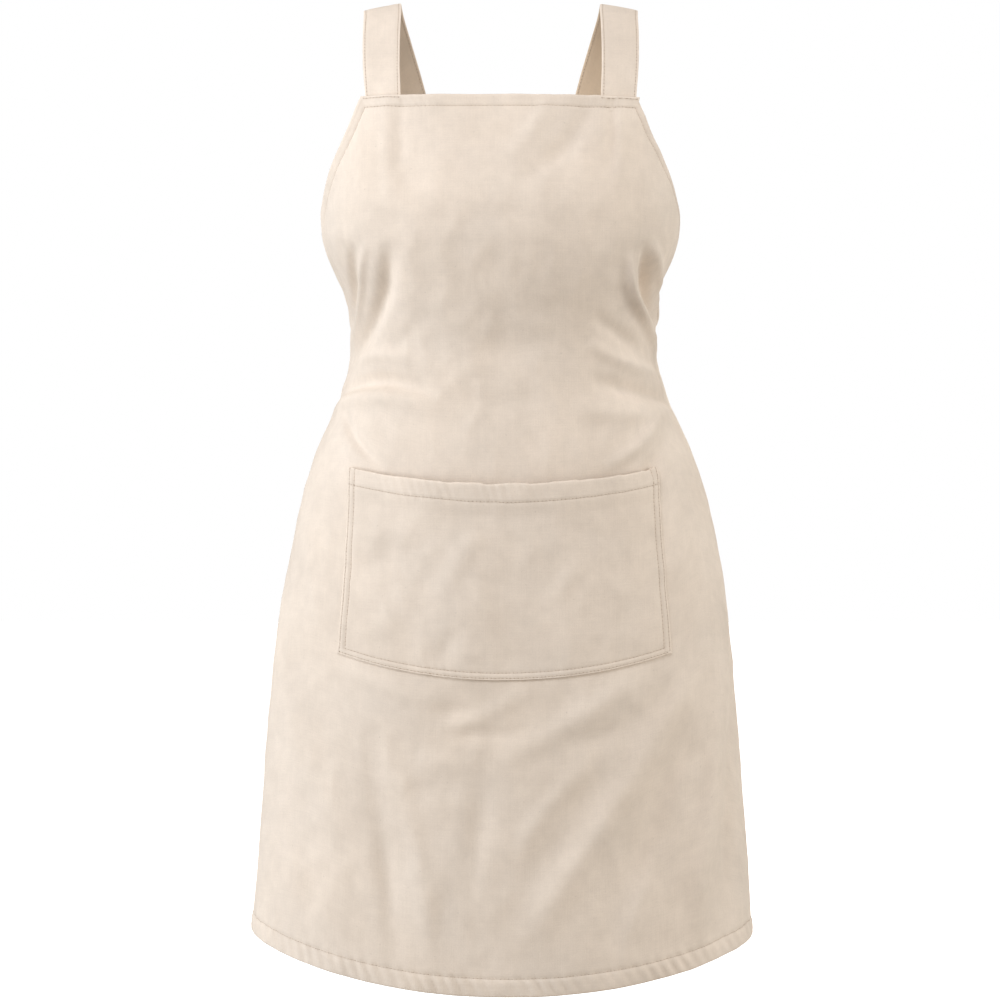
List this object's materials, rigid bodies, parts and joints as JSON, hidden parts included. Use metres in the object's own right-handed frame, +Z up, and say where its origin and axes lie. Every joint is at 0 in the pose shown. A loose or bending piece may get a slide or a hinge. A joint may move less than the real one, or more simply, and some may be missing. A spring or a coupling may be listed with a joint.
{
  "type": "cross back apron",
  "caption": "Canvas apron with a bib, a wrapped skirt, a wide front pocket and two straps that cross behind, in its worn shape.",
  "frame": {"origin": "midway between the places where the two straps rest on the shoulders", "axes": "+X to the right as seen from the front, +Y to the back, +Z up"},
  "size_m": [0.5037, 0.3113, 0.9511],
  "materials": {
    "canvas": "matte woven cotton"
  },
  "bodies": {
    "root": {"apron_body": "canvas", "bib_hem": "canvas", "armhole_hem_left": "canvas", "armhole_hem_right": "canvas", "bottom_hem": "canvas", "back_hem_left": "canvas", "back_hem_right": "canvas", "pocket": "canvas", "pocket_mouth_hem": "canvas", "strap_left": "canvas", "strap_right": "canvas"}
  },
  "joints": []
}
